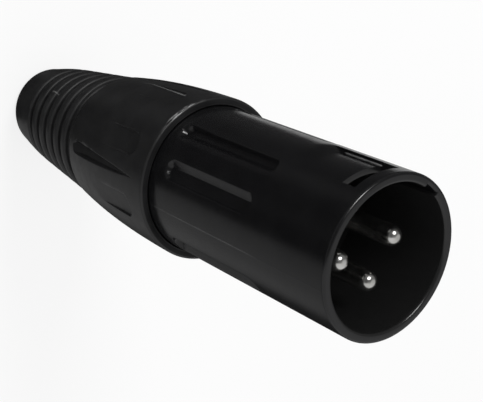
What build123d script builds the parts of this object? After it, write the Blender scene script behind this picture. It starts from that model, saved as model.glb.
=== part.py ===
from build123d import *
import os
from math import cos, radians, sin, sqrt

# Three-pin male cable plug, millimetres.
# The origin is the centre of the boot's tail face. +Z runs along the axis to the open mouth, and +Y
# points to the latch pocket, so pin 3 lies towards -Y. Angles are counted from +X towards +Y.

# Overall sizes
overall_length = 74.0
barrel_radius = 9.5
pin_radius = 1.2
pin_circle_radius = 4.0
sleeve_radius = 10.62
cable_radius = 3.25

# Cutters run this far past the surface that they open
overrun = 1.0

# Barrel of the shell
top_angle = 90.0
rim_z = overall_length
rim_edge_radius = 0.35
mouth_radius = 8.35
mouth_depth = 14.5
mouth_floor_z = rim_z - mouth_depth
ledge_thickness = 0.8
ledge_radius = 7.0
rear_bore_radius = 7.6
shell_rear_z = 29.0
shoulder_z = 37.6
thread_core_radius = 8.55
shoulder_chamfer = 0.3
relief_radius = 9.3
relief_front_z = 42.3
seam_angle = 21.0

# Slots along the barrel, with their edges counted from the top. The die halves draw straight up and
# down and sideways, so each slot has one upright wall and one level wall.
slot_floor_radius = 8.8
upper_slot = {"upper_edge": 20.5, "lower_edge": 34.5, "rear_z": 43.8, "front_z": 61.4}
side_slot = {"upper_edge": 50.0, "lower_edge": 66.0, "rear_z": 45.0, "front_z": 61.0}
cut_margin = 0.08

# Latch pocket behind the rim, with a window through the wall at its front
pocket_half_width = 3.2
pocket_rear_z = rim_z - 11.4
pocket_ramp_length = 1.5
pocket_floor_radius = 9.0
window_rear_z = rim_z - 4.0
window_front_z = rim_z - 1.55
window_corner_radius = 0.3

# Keyway inside the mouth
keyway_angle = 43.0
keyway_width = 2.05
keyway_radius = 8.75
keyway_rear_z = 63.0

# Keyways in the shell's rear bore, and the ribs of the chuck that slide in them
rib_angles = (0.0, 180.0)
rib_width = 1.5
rib_root_radius = 5.3
rib_radius = 7.75
rib_clearance = 0.25

# Contact carrier
insert_radius = 7.5
insert_clearance = 0.1
insert_rear_z = 47.5
skirt_rear_z = 42.3
skirt_wall = 1.1
pin_hole_clearance = 0.02

# Contact pins, a little thicker where they are pressed into the insert
pin_root_radius = 1.4
pin_tip_z = 71.1
pin_dome_height = 1.1
pin_tip_flat_radius = 0.25
collar_radius = 1.75
collar_thickness = 0.6
cup_radius = 1.45
cup_rear_z = 43.0
cup_hole_radius = 1.0
cup_hole_depth = 3.4
cup_opening_height = 2.2
pin_angles = {"contact_pin_1": 180.0, "contact_pin_2": 0.0, "contact_pin_3": 270.0}

# Earth spring between the insert and the shell
spring_width = 2.4
spring_thickness = 0.3
spring_groove_floor = 6.75
spring_front_z = 57.4
spring_bow = 0.4
flat_before_bow = 2.0
flat_after_bow = 1.0
spring_foot_end = 3.6
spring_groove_clearance = 0.1

# Chuck that grips the cable
chuck_front_z = 42.0
chuck_ring_rear_z = 33.0
chuck_rear_z = 24.55
chuck_radius = 7.25
chuck_tail_radius = 6.14
chuck_bore_radius = 4.1
chuck_ring_bore_radius = 4.8
jaw_count = 4
jaw_slit_width = 1.3
jaw_slit_front_z = 34.5
tooth_count = 4
tooth_pitch = 1.8
tooth_depth = 0.5
first_tooth_z = 26.0

# Sleeve that screws over the shell
sleeve_front_z = 42.4
sleeve_rear_z = 22.15
sleeve_rear_radius = 9.08
sleeve_bend_z = 26.0
sleeve_bend_radius = 9.66
sleeve_shoulder_z = 31.0
sleeve_shoulder_radius = 10.18
sleeve_front_rounding = 0.45
sleeve_rear_rounding = 0.7
lip_bore_radius = 9.58
lip_rear_z = 36.8
sleeve_bore_radius = 8.95
sleeve_bore_rear_z = 28.2
cone_front_radius = 7.0
cone_rear_radius = 6.3
cone_rear_z = 24.7
flange_room_radius = 7.25
rear_wall_front_z = 23.4
rear_opening_radius = 6.3

# Grip marks round the sleeve: shallow panels, and a wedge groove after every second one
panel_count = 8
panel_angle = 141.8
panel_width = 2.9
panel_rear_z = 27.0
panel_front_z = 39.3
panel_floor_radius = 10.12
panel_corner_radius = 1.2
wedge_count = 4
wedge_angle = 163.5
wedge_width = 1.75
wedge_rear_z = 23.8
wedge_front_z = 40.0
wedge_deep_z = 27.0
wedge_depth = 0.75

# Ribbed boot
boot_tail_radius = 5.95
boot_tail_rounding = 1.2
boot_bend_z = 6.4
boot_bend_radius = 7.3
boot_front_radius = 8.8
boot_front_z = 20.35
groove_count = 5
first_groove_z = 7.9
groove_pitch = 2.61
groove_width = 1.25
groove_depth = 0.9
rib_rounding = 0.28
neck_radius = 6.25
flange_radius = 7.15
flange_front_z = 24.5
boot_straight_bore_end_z = 12.0
boot_front_bore_radius = 4.4
bore_edge = 0.4


def tangent_plane(angle, radius, height):
    """Plane that faces outwards at an angle and radius; its x runs along the axis of the plug."""
    out = Vector(cos(radians(angle)), sin(radians(angle)), 0)
    return Plane(origin=out * radius + Vector(0, 0, height), x_dir=(0, 0, 1), z_dir=out)


def on_pin_circle(angle):
    """Centre of a contact pin at an angle."""
    return (pin_circle_radius * cos(radians(angle)), pin_circle_radius * sin(radians(angle)))


def axial_plane(angle):
    """Plane through the axis of the plug; its x points outwards at an angle, and its y is the axis."""
    out = (cos(radians(angle)), sin(radians(angle)), 0)
    return Plane(origin=(0, 0, 0), x_dir=out, z_dir=(sin(radians(angle)), -cos(radians(angle)), 0))


def beside(radius, across):
    """Distance from the axis, along one main direction, of a point on a circle that far across the other."""
    return sqrt(radius ** 2 - across ** 2)


def boot_radius(z):
    """Outer radius of the boot's straight flank, without its grooves."""
    slope = (boot_front_radius - boot_bend_radius) / (boot_front_z - boot_bend_z)
    return boot_bend_radius + slope * (z - boot_bend_z)


def sleeve_radius_at(z):
    """Outer radius of the sleeve, by straight lines between its driving stations."""
    stations = (
        (sleeve_rear_z, sleeve_rear_radius),
        (sleeve_bend_z, sleeve_bend_radius),
        (sleeve_shoulder_z, sleeve_shoulder_radius),
        (sleeve_front_z, sleeve_radius),
    )
    for (low_z, low_r), (high_z, high_r) in zip(stations, stations[1:]):
        if z <= high_z:
            return low_r + (high_r - low_r) * (z - low_z) / (high_z - low_z)
    return sleeve_radius


# Latch pocket cutter: a ring with a ramped floor, kept only between two flat side walls
with BuildPart() as latch_pocket:
    with BuildSketch(Plane.XZ):
        with BuildLine():
            Polyline(
                (barrel_radius + overrun, pocket_rear_z),
                (barrel_radius, pocket_rear_z),
                (pocket_floor_radius, pocket_rear_z + pocket_ramp_length),
                (pocket_floor_radius, window_rear_z + cut_margin),
                (barrel_radius + overrun, window_rear_z + cut_margin),
                close=True,
            )
        make_face()
    revolve(axis=Axis.Z)
    with BuildSketch(Plane.XY.offset(mouth_floor_z)):
        with Locations((0, barrel_radius)):
            Rectangle(2 * pocket_half_width, barrel_radius)
    extrude(amount=mouth_depth, mode=Mode.INTERSECT)


def make_slot_cutter(slot):
    """Cutter for one slot in the first quarter: two walls square to the main planes, and rounded ends."""
    upper_x = barrel_radius * sin(radians(slot["upper_edge"]))
    lower_y = barrel_radius * cos(radians(slot["lower_edge"]))
    length = slot["front_z"] - slot["rear_z"]
    middle_from_top = (slot["upper_edge"] + slot["lower_edge"]) / 2
    half_angle = (slot["lower_edge"] - slot["upper_edge"]) / 2
    width = 2 * (barrel_radius * sin(radians(half_angle)) + cut_margin)
    outside = barrel_radius + overrun
    with BuildPart() as cutter:
        with BuildSketch(Plane.XY.offset(slot["rear_z"])):
            with BuildLine():
                Polyline(
                    (upper_x, beside(slot_floor_radius, upper_x)),
                    (upper_x, outside),
                    (outside, outside),
                    (outside, lower_y),
                    (beside(slot_floor_radius, lower_y), lower_y),
                    close=True,
                )
            make_face()
        extrude(amount=length)
        end_plane = tangent_plane(top_angle - middle_from_top, rear_bore_radius, slot["rear_z"] + length / 2)
        with BuildSketch(end_plane):
            SlotOverall(length, width)
        extrude(amount=outside - rear_bore_radius, mode=Mode.INTERSECT)
    return cutter.part


# Slot cutters of one quarter, mirrored about both planes through the axis
quarter_slots = [make_slot_cutter(slot) for slot in (upper_slot, side_slot)]
with BuildPart() as slots:
    for quarter_slot in quarter_slots:
        add(quarter_slot)
    mirror(about=Plane.YZ)
    mirror(about=Plane.XZ)

# Shell: the die-cast barrel with the stepped bore and the thread seat behind it. Under the sleeve's lip
# the barrel is a little slimmer. The profile stands on a solid land between two slots.
with BuildPart() as shell:
    with BuildSketch(axial_plane(seam_angle)) as shell_profile:
        with BuildLine():
            Polyline(
                (rear_bore_radius, shell_rear_z),
                (thread_core_radius - shoulder_chamfer, shell_rear_z),
                (thread_core_radius, shell_rear_z + shoulder_chamfer),
                (thread_core_radius, shoulder_z),
                (relief_radius - shoulder_chamfer, shoulder_z),
                (relief_radius, shoulder_z + shoulder_chamfer),
                (relief_radius, relief_front_z),
                (barrel_radius, relief_front_z),
                (barrel_radius, rim_z),
                (mouth_radius, rim_z),
                (mouth_radius, mouth_floor_z),
                (ledge_radius, mouth_floor_z),
                (ledge_radius, mouth_floor_z - ledge_thickness),
                (rear_bore_radius, mouth_floor_z - ledge_thickness),
                close=True,
            )
        make_face()
        fillet(shell_profile.vertices().group_by(Axis.Y)[-1], rim_edge_radius)
    revolve(axis=Axis.Z)
    add(slots.part, mode=Mode.SUBTRACT)
    add(latch_pocket.part, mode=Mode.SUBTRACT)
    # Window at the front of the pocket, through the wall
    with BuildSketch(tangent_plane(top_angle, ledge_radius, (window_rear_z + window_front_z) / 2)):
        RectangleRounded(window_front_z - window_rear_z, 2 * pocket_half_width, window_corner_radius)
    extrude(amount=barrel_radius - ledge_radius + overrun, mode=Mode.SUBTRACT)
    # Keyway inside the mouth
    with BuildSketch(tangent_plane(keyway_angle, ledge_radius, (keyway_rear_z + rim_z) / 2)):
        Rectangle(rim_z - keyway_rear_z, keyway_width)
    extrude(amount=keyway_radius - ledge_radius, mode=Mode.SUBTRACT)
    # Keyways of the rear bore
    for rib_angle in rib_angles:
        with BuildSketch(tangent_plane(rib_angle, ledge_radius, (shell_rear_z + chuck_front_z) / 2)):
            Rectangle(chuck_front_z - shell_rear_z, rib_width + 2 * rib_clearance)
        extrude(amount=rib_radius + rib_clearance - ledge_radius, mode=Mode.SUBTRACT)

# Insert: the moulded contact carrier, with a skirt round the solder cups
with BuildPart() as insert:
    with BuildSketch(Plane.XZ):
        with BuildLine():
            Polyline(
                (0, insert_rear_z),
                (insert_radius - skirt_wall, insert_rear_z),
                (insert_radius - skirt_wall, skirt_rear_z),
                (insert_radius, skirt_rear_z),
                (insert_radius, mouth_floor_z - ledge_thickness),
                (ledge_radius - insert_clearance, mouth_floor_z - ledge_thickness),
                (ledge_radius - insert_clearance, mouth_floor_z),
                (0, mouth_floor_z),
                close=True,
            )
        make_face()
    revolve(axis=Axis.Z)
    for pin_angle in pin_angles.values():
        with BuildSketch(Plane.XY.offset(insert_rear_z)):
            with Locations(on_pin_circle(pin_angle)):
                Circle(pin_root_radius + pin_hole_clearance)
        extrude(amount=mouth_floor_z - insert_rear_z, mode=Mode.SUBTRACT)
    # Groove for the earth spring along the top, and a gap in the skirt for its foot
    groove_front_z = spring_front_z + spring_groove_clearance
    for floor_radius, front_z in ((spring_groove_floor, groove_front_z), (spring_foot_end, insert_rear_z)):
        with BuildSketch(tangent_plane(top_angle, floor_radius, (skirt_rear_z + front_z) / 2)):
            Rectangle(front_z - skirt_rear_z, spring_width + 2 * spring_groove_clearance)
        extrude(amount=insert_radius - floor_radius + overrun, mode=Mode.SUBTRACT)


def make_pin(name, angle):
    """Turned contact pin with a domed tip, a collar behind the insert and an open solder cup."""
    pin_x, pin_y = on_pin_circle(angle)
    pin_plane = Plane(origin=(pin_x, pin_y, 0), x_dir=(1, 0, 0), z_dir=(0, -1, 0))
    shaft_end_z = pin_tip_z - pin_dome_height
    with BuildPart() as pin:
        with BuildSketch(pin_plane):
            with BuildLine():
                Polyline(
                    (0, pin_tip_z),
                    (0, cup_rear_z),
                    (cup_radius, cup_rear_z),
                    (cup_radius, insert_rear_z - collar_thickness),
                    (collar_radius, insert_rear_z - collar_thickness),
                    (collar_radius, insert_rear_z),
                    (pin_root_radius, insert_rear_z),
                    (pin_root_radius, mouth_floor_z),
                    (pin_radius, mouth_floor_z),
                    (pin_radius, shaft_end_z),
                )
                TangentArc((pin_radius, shaft_end_z), (pin_tip_flat_radius, pin_tip_z), tangent=(0, 1))
                Line((pin_tip_flat_radius, pin_tip_z), (0, pin_tip_z))
            make_face()
        revolve(axis=Axis((pin_x, pin_y, 0), (0, 0, 1)))
        with BuildSketch(Plane.XY.offset(cup_rear_z)):
            with Locations((pin_x, pin_y)):
                Circle(cup_hole_radius)
        extrude(amount=cup_hole_depth, mode=Mode.SUBTRACT)
        # The cup is cut open on its inner side
        with BuildSketch(tangent_plane(angle, pin_circle_radius, cup_rear_z + cup_opening_height / 2)):
            Rectangle(cup_opening_height, 2 * (cup_radius + overrun))
        extrude(amount=-2 * cup_radius, mode=Mode.SUBTRACT)
    pin.part.label = name
    return pin.part


pins = [make_pin(name, angle) for name, angle in pin_angles.items()]

# Earth spring: a strip along the insert, bowed out towards the bore, with a foot for a solder joint
with BuildPart() as earth_spring:
    strip_bottom = spring_groove_floor
    strip_top = spring_groove_floor + spring_thickness
    foot_z = insert_rear_z - spring_thickness
    bow_rear_z = insert_rear_z + flat_before_bow
    bow_front_z = spring_front_z - flat_after_bow
    bow_middle_z = (bow_rear_z + bow_front_z) / 2
    with BuildSketch(Plane.YZ.offset(-spring_width / 2)):
        with BuildLine():
            Polyline(
                (strip_bottom, bow_rear_z),
                (strip_bottom, insert_rear_z),
                (spring_foot_end, insert_rear_z),
                (spring_foot_end, foot_z),
                (strip_top, foot_z),
                (strip_top, bow_rear_z),
            )
            ThreePointArc(
                (strip_top, bow_rear_z),
                (strip_top + spring_bow, bow_middle_z),
                (strip_top, bow_front_z),
            )
            Polyline(
                (strip_top, bow_front_z),
                (strip_top, spring_front_z),
                (strip_bottom, spring_front_z),
                (strip_bottom, bow_front_z),
            )
            ThreePointArc(
                (strip_bottom, bow_front_z),
                (strip_bottom + spring_bow, bow_middle_z),
                (strip_bottom, bow_rear_z),
            )
        make_face()
    extrude(amount=spring_width)

# Chuck: a split plastic collet whose toothed jaws close on the cable
with BuildPart() as chuck:
    with BuildSketch(Plane.XZ):
        with BuildLine():
            Polyline(
                (chuck_bore_radius, chuck_rear_z),
                (chuck_tail_radius, chuck_rear_z),
                (chuck_radius, chuck_ring_rear_z),
                (chuck_radius, chuck_front_z),
                (chuck_ring_bore_radius, chuck_front_z),
                (chuck_ring_bore_radius, chuck_ring_rear_z),
                (chuck_bore_radius, chuck_ring_rear_z),
                close=True,
            )
        make_face()
    revolve(axis=Axis.Z)
    # Teeth are left between ring grooves in the jaws
    for tooth in range(tooth_count):
        tooth_z = first_tooth_z + tooth * tooth_pitch
        with BuildSketch(Plane.XZ):
            with BuildLine():
                Polyline(
                    (chuck_bore_radius - overrun, tooth_z),
                    (chuck_bore_radius + tooth_depth, tooth_z),
                    (chuck_bore_radius, tooth_z + tooth_pitch / 2),
                    (chuck_bore_radius - overrun, tooth_z + tooth_pitch / 2),
                    close=True,
                )
            make_face()
        revolve(axis=Axis.Z, mode=Mode.SUBTRACT)
    # Slits part the jaws
    with BuildSketch(Plane.XY.offset(chuck_rear_z)):
        with PolarLocations(0, jaw_count // 2, start_angle=45, angular_range=180):
            Rectangle(2 * (chuck_radius + overrun), jaw_slit_width)
    extrude(amount=jaw_slit_front_z - chuck_rear_z, mode=Mode.SUBTRACT)
    # Ribs that slide in the shell's keyways
    for rib_angle in rib_angles:
        rib_middle_z = (jaw_slit_front_z + chuck_front_z) / 2
        with BuildSketch(tangent_plane(rib_angle, rib_root_radius, rib_middle_z)):
            Rectangle(chuck_front_z - jaw_slit_front_z, rib_width)
        extrude(amount=rib_radius - rib_root_radius)

# Cutter for one shallow grip panel of the sleeve, at angle zero
with BuildPart() as panel_cutter:
    with BuildSketch(tangent_plane(0, panel_floor_radius, (panel_rear_z + panel_front_z) / 2)):
        RectangleRounded(panel_front_z - panel_rear_z, panel_width, panel_corner_radius)
    extrude(amount=sleeve_radius - panel_floor_radius + overrun)

# Cutter for one wedge groove: a tear-drop prism, kept outside a floor that runs out at both ends
with BuildPart() as wedge_cutter:
    with BuildSketch(tangent_plane(0, flange_room_radius, 0)):
        with BuildLine():
            nose_z = wedge_rear_z + wedge_width / 2
            Line((nose_z, wedge_width / 2), (wedge_front_z, 0))
            Line((wedge_front_z, 0), (nose_z, -wedge_width / 2))
            ThreePointArc((nose_z, -wedge_width / 2), (wedge_rear_z, 0), (nose_z, wedge_width / 2))
        make_face()
    extrude(amount=sleeve_radius - flange_room_radius + overrun)
    with BuildSketch(Plane.XZ):
        with BuildLine():
            floor_front = (sleeve_radius_at(wedge_front_z), wedge_front_z)
            floor_deep = (sleeve_radius_at(wedge_deep_z) - wedge_depth, wedge_deep_z)
            floor_rear = (sleeve_radius_at(wedge_rear_z), wedge_rear_z)
            far_radius = sleeve_radius + 2 * overrun
            long_floor = Line(floor_front, floor_deep)
            TangentArc(floor_deep, floor_rear, tangent=long_floor % 1)
            Polyline(floor_rear, (far_radius, wedge_rear_z), (far_radius, wedge_front_z), floor_front)
        make_face()
    revolve(axis=Axis.Z, mode=Mode.INTERSECT)

# Sleeve: the tapered grip that screws over the shell and closes the chuck
with BuildPart() as sleeve:
    with BuildSketch(Plane.XZ) as sleeve_profile:
        with BuildLine():
            Spline(
                (sleeve_rear_radius, sleeve_rear_z),
                (sleeve_bend_radius, sleeve_bend_z),
                (sleeve_shoulder_radius, sleeve_shoulder_z),
                (sleeve_radius, sleeve_front_z),
            )
            Polyline(
                (sleeve_radius, sleeve_front_z),
                (lip_bore_radius, sleeve_front_z),
                (lip_bore_radius, lip_rear_z),
                (sleeve_bore_radius, lip_rear_z),
                (sleeve_bore_radius, sleeve_bore_rear_z),
                (cone_front_radius, sleeve_bore_rear_z),
                (cone_rear_radius, cone_rear_z),
                (flange_room_radius, cone_rear_z),
                (flange_room_radius, rear_wall_front_z),
                (rear_opening_radius, rear_wall_front_z),
                (rear_opening_radius, sleeve_rear_z),
                (sleeve_rear_radius, sleeve_rear_z),
            )
        make_face()
        front_corner = sleeve_profile.vertices().group_by(Axis.Y)[-1].sort_by(Axis.X)[-1]
        rear_corner = sleeve_profile.vertices().group_by(Axis.Y)[0].sort_by(Axis.X)[-1]
        fillet(front_corner, sleeve_front_rounding)
        fillet(rear_corner, sleeve_rear_rounding)
    revolve(axis=Axis.Z)
    with PolarLocations(0, panel_count, start_angle=panel_angle):
        add(panel_cutter.part, mode=Mode.SUBTRACT)
    with PolarLocations(0, wedge_count, start_angle=wedge_angle):
        add(wedge_cutter.part, mode=Mode.SUBTRACT)

# Boot: the rubber strain relief, ringed by rounded grooves, held by a flange inside the sleeve
with BuildPart() as boot:
    with BuildSketch(Plane.XZ) as boot_profile:
        with BuildLine():
            Polyline(
                (boot_tail_radius, 0),
                (boot_bend_radius, boot_bend_z),
                (boot_front_radius, boot_front_z),
                (boot_front_radius - groove_depth, boot_front_z),
                (boot_front_radius - groove_depth, sleeve_rear_z),
                (neck_radius, sleeve_rear_z),
                (neck_radius, rear_wall_front_z),
                (flange_radius, rear_wall_front_z),
                (flange_radius, flange_front_z),
                (boot_front_bore_radius, flange_front_z),
                (cable_radius, boot_straight_bore_end_z),
                (cable_radius, bore_edge),
                (cable_radius + bore_edge, 0),
                close=True,
            )
        make_face()
        for groove in range(groove_count):
            groove_z = first_groove_z + groove * groove_pitch
            with Locations((boot_radius(groove_z), groove_z)):
                SlotOverall(2 * groove_depth, groove_width, mode=Mode.SUBTRACT)
        corners = boot_profile.vertices()
        tail_corner = corners.group_by(Axis.Y)[0].sort_by(Axis.X)[-1]
        ribbed_part = corners.filter_by(lambda corner: corner.Y > first_groove_z - groove_width)
        rib_corners = ribbed_part.filter_by(lambda corner: corner.X > boot_radius(corner.Y) - cut_margin)
        fillet(tail_corner, boot_tail_rounding)
        fillet(rib_corners, rib_rounding)
    revolve(axis=Axis.Z)

os.makedirs("parts", exist_ok=True)
pieces = {
    "shell": shell,
    "insert": insert,
    "earth_spring": earth_spring,
    "chuck": chuck,
    "sleeve": sleeve,
    "boot": boot,
}
for name, piece in pieces.items():
    piece.part.label = name
    export_step(piece.part, f"parts/{name}.step")
for pin in pins:
    export_step(pin, f"parts/{pin.label}.step")
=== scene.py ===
from collections import namedtuple
from math import asin, cos, degrees, pi, radians, sin

import bmesh
import bpy
import numpy as np
from mathutils import Matrix, Vector


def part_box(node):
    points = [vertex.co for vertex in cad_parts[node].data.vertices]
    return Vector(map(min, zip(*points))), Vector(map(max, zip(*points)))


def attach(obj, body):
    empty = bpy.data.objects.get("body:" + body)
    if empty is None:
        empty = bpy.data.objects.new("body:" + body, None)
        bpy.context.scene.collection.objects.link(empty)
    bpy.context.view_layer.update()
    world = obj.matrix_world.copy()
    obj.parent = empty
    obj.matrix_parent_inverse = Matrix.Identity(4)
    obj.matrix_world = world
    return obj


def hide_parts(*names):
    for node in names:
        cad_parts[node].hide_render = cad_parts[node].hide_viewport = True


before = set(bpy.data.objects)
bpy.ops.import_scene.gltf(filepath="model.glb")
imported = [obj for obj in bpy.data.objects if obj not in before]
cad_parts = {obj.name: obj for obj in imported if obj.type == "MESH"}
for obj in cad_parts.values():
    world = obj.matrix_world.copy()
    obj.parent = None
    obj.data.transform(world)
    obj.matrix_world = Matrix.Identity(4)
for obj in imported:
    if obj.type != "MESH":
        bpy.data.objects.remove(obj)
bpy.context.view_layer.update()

# Lengths below are millimetres in the frame of the CAD model, and become metres where meshes are made.
MM = 0.001
MM_IN_A_METRE = 1000


def box_in_mm(node):
    """Low and high corner of a CAD node's box, in millimetres."""
    return [corner * MM_IN_A_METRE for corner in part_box(node)]


# Places read from the frame
SHELL_LOW, SHELL_HIGH = box_in_mm("shell")
SLEEVE_LOW, SLEEVE_HIGH = box_in_mm("sleeve")
FLANGE_FRONT_Z = box_in_mm("boot")[1].z
CHUCK_FRONT_Z = box_in_mm("chuck")[1].z
PIN_NAMES = ("contact_pin_1", "contact_pin_2", "contact_pin_3")

# Mesh edges sharper than this stay hard
SHARP_ANGLE = radians(38)

# Shell
RIM_Z = SHELL_HIGH.z
SHELL_REAR_Z = SHELL_LOW.z
BARREL_RADIUS = SHELL_HIGH.x
RIM_EDGE_RADIUS = 0.35
MOUTH_RADIUS = 8.35
MOUTH_FLOOR_Z = RIM_Z - 14.5
LEDGE_RADIUS = 7.0
LEDGE_REAR_Z = MOUTH_FLOOR_Z - 0.8
REAR_BORE_RADIUS = 7.6
SHOULDER_Z = 37.6
THREAD_CORE_RADIUS = 8.55
EDGE_BREAK = 0.3
TOP_ANGLE = 90.0
# Slots: upper and lower edge in degrees from the top, rear and front end
Slot = namedtuple("Slot", "upper_edge lower_edge rear_z front_z")
UPPER_SLOT = Slot(20.5, 34.5, 43.8, 61.4)
SIDE_SLOT = Slot(50.0, 66.0, 45.0, 61.0)
SLOT_FLOOR_RADIUS = 8.8
SLOT_MARGIN = 0.08
SLOT_UPPER_ROUNDING = 0.12
SLOT_LOWER_ROUNDING = 0.3
SLOT_FLOOR_TILT = 0.14
SLOT_WALL_SLOPE = 6.0
SLOT_END_SLOPE = 2.2
SLOT_REACH_DEGREES = 14
RELIEF_RADIUS = 9.3
RELIEF_FRONT_Z = 42.3
POCKET_HALF_WIDTH = 3.2
POCKET_HALF_ANGLE = degrees(asin(POCKET_HALF_WIDTH / BARREL_RADIUS))
POCKET_REAR_Z = RIM_Z - 11.4
POCKET_RAMP_LENGTH = 1.5
POCKET_FLOOR_RADIUS = 9.0
POCKET_WALL_ZONE = (18.9, 21.7)
POCKET_EDGE_SHARE = 0.12
WINDOW_REAR_Z = RIM_Z - 4.0
WINDOW_FRONT_Z = RIM_Z - 1.55
KEYWAY_ANGLE = 43.0
KEYWAY_HALF_WIDTH = 1.025
KEYWAY_RADIUS = 8.75
KEYWAY_REAR_Z = 63.0
KEYWAY_WALL_WIDTH = 0.1
KEYWAY_REACH_DEGREES = 20
CHUCK_KEYWAY_ANGLES = (0.0, 180.0)
CHUCK_KEYWAY_HALF_WIDTH = 1.0
CHUCK_KEYWAY_RADIUS = 8.0
SEAM_HEIGHT = 0.02
SEAM_HALF_WIDTH = 0.12

# Sleeve
SLEEVE_FRONT_Z = SLEEVE_HIGH.z
SLEEVE_REAR_Z = SLEEVE_LOW.z
SLEEVE_RADIUS = 10.62
# Height and outer radius of the stations of its curve
SLEEVE_STATIONS = ((SLEEVE_REAR_Z, 9.08), (26.0, 9.66), (31.0, 10.18), (SLEEVE_FRONT_Z, SLEEVE_RADIUS))
SLEEVE_FRONT_ROUNDING = 0.28
SLEEVE_REAR_ROUNDING = 0.7
LIP_BORE_RADIUS = 9.58
LIP_EDGE_ROUNDING = 0.12
FACE_MIDDLE_RADIUS = 10.05
LIP_REAR_Z = 36.8
SLEEVE_BORE_RADIUS = 8.95
SLEEVE_BORE_REAR_Z = 28.2
CONE_FRONT_RADIUS = 7.0
CONE_REAR_RADIUS = 6.3
CONE_REAR_Z = 24.7
FLANGE_ROOM_RADIUS = 7.25
REAR_WALL_FRONT_Z = 23.4
PANEL_COUNT = 8
PANEL_ANGLE = 141.8
PANEL_HALF_WIDTH = 1.45
PANEL_REAR_Z = 27.0
PANEL_FRONT_Z = 39.3
PANEL_FLOOR_RADIUS = 10.12
PANEL_CORNER_RADIUS = 1.2
PANEL_EDGE_ROUNDING = 0.06
WEDGE_COUNT = 4
WEDGE_ANGLE = 163.5
WEDGE_HALF_WIDTH = 0.875
WEDGE_REAR_Z = 23.8
WEDGE_FRONT_Z = 40.0
WEDGE_DEEP_Z = 27.0
WEDGE_DEPTH = 0.75
WEDGE_FLOOR_TILT = 0.16
WEDGE_TAPER_POWER = 1.8
WEDGE_EDGE_ROUNDING = 0.1
GRIP_WALL_SLOPE = 3.0

# Boot
BOOT_TAIL_RADIUS = 5.95
BOOT_TAIL_ROUNDING = 1.2
BOOT_BEND_Z = 6.4
BOOT_BEND_RADIUS = 7.3
BOOT_BEND_ROUNDING = 0.3
BOOT_FRONT_RADIUS = 8.8
BOOT_FRONT_Z = 20.35
GROOVE_COUNT = 5
FIRST_GROOVE_Z = 7.9
GROOVE_PITCH = 2.61
GROOVE_WIDTH = 1.25
GROOVE_DEPTH = 0.9
RIB_SHOULDER = 0.35
GROOVE_CORNER = 0.3
NECK_RADIUS = 6.25
FLANGE_RADIUS = 7.15
CABLE_RADIUS = 3.25
BORE_EDGE = 0.4
STRAIGHT_BORE_END_Z = 12.0
FRONT_BORE_RADIUS = 4.4
RECESS_CORNER = 0.35

# Contact pins
PIN_RADIUS = 1.2
PIN_ROOT_RADIUS = 1.4
PIN_DOME_HEIGHT = 1.1
PIN_TIP_FLAT_RADIUS = 0.25
DOME_STEPS = 12
COLLAR_RADIUS = 1.75
COLLAR_FRONT_Z = 47.5
COLLAR_REAR_Z = 46.9
CUP_RADIUS = 1.45
CUP_HOLE_RADIUS = 1.0
CUP_HOLE_DEPTH = 3.4

# Screw thread between shell and sleeve
THREAD_PITCH = 1.25
THREAD_HALF_BASE = 0.26
THREAD_HALF_CREST = 0.08
THREAD_SINK = 0.05
THREAD_END_GAP = 0.6
THREAD_SHOULDER_GAP = 1.2
SHELL_THREAD_CREST_RADIUS = 8.87
SLEEVE_THREAD_CREST_RADIUS = 8.66
THREAD_STEPS_A_TURN = 96

# Painted highlights on edges and seams, partly over scratches, the paler inside of the mouth and a scratch on
# the boot: angles in degrees, heights, tones of grey
FOOT_HIGHLIGHT_Z = 67.2
FOOT_HIGHLIGHT_TONE = 0.3
SEAM_HIGHLIGHT_Z = 53.0
SEAM_HIGHLIGHT_TONE = 0.05
MOUTH_TONE = 0.012
SCUFF_AND_HIGHLIGHT_ANGLE = 107
SCUFF_AND_HIGHLIGHT_TONE = 0.32
PANEL_HIGHLIGHT_Z = 33.0
PANEL_HIGHLIGHT_PEAK_Z = 36.0
PANEL_HIGHLIGHT_TONE = 0.2
SCRATCH_ANGLE = 125.5
SCRATCH_Z = 12.3
SCRATCH_TONE = 0.12

# Camera, from the view lines of the photograph's frame of 483 by 402 pixels
CAMERA_PLACE = Vector((-70.3, 53.7, 145.9))
CAMERA_FORWARD = Vector((0.532, -0.415, -0.738))
CAMERA_UP = Vector((0.319, 0.906, -0.280))
FOCAL_PIXELS = 1078.66
FRAME_WIDTH_PIXELS = 483
SENSOR_WIDTH = 36.0
CLIP_START = 0.005
CLIP_END = 10.0

# Floor, and how much of it shows as plain white
FLOOR_RADIUS = 3000
FLOOR_HEIGHT = -0.02
FLOOR_TONE = 0.9
FLOOR_WHITE_SHARE = 0.8
# Key lamp
LAMP_PLACE = Vector((62, 294, 450))
LAMP_TARGET = Vector((0, 0, 50))
LAMP_SIZE = 150
LAMP_WATTS = 1.0
# Studio card round the plug, by azimuth in degrees: what the black sides mirror
CARD_TONES = (
    (0, 0.08), (17, 0.065), (25, 0.045), (37, 0.06), (60, 0.04), (80, 0.035), (88, 0.09), (96, 0.085),
    (110, 0.02), (133, 0.012), (143, 0.04), (150, 0.035), (158, 0.011), (177, 0.01), (183, 0.2), (190, 0.27),
    (213, 0.3), (240, 0.28), (252, 0.22), (261, 0.1), (271, 0.025), (300, 0.015), (340, 0.05), (360, 0.08),
)
CARD_RADIUS = 900.0
CARD_HEIGHT = 0.3
# A bright strip of card behind the plug, which lights the barrel's far edge
STRIP_RADII = (40.0, 130.0)
STRIP_AZIMUTHS = (318, 376)
STRIP_HEIGHT = 0.6
STRIP_TONE = 0.55
# What mirror rays see above the floor: a dim ceiling, then panels as (azimuth, elevation, half width, level)
CEILING_LEVEL = 0.12
SKY_PANELS = (
    (322, 46, 18, 0.42),
    (250, 16, 64, 0.55),
    (142, 52, 24, 0.05),
)
SKY_SOFTNESS = 6.0
SOFT_LIGHT_LEVEL = 0.75


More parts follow.
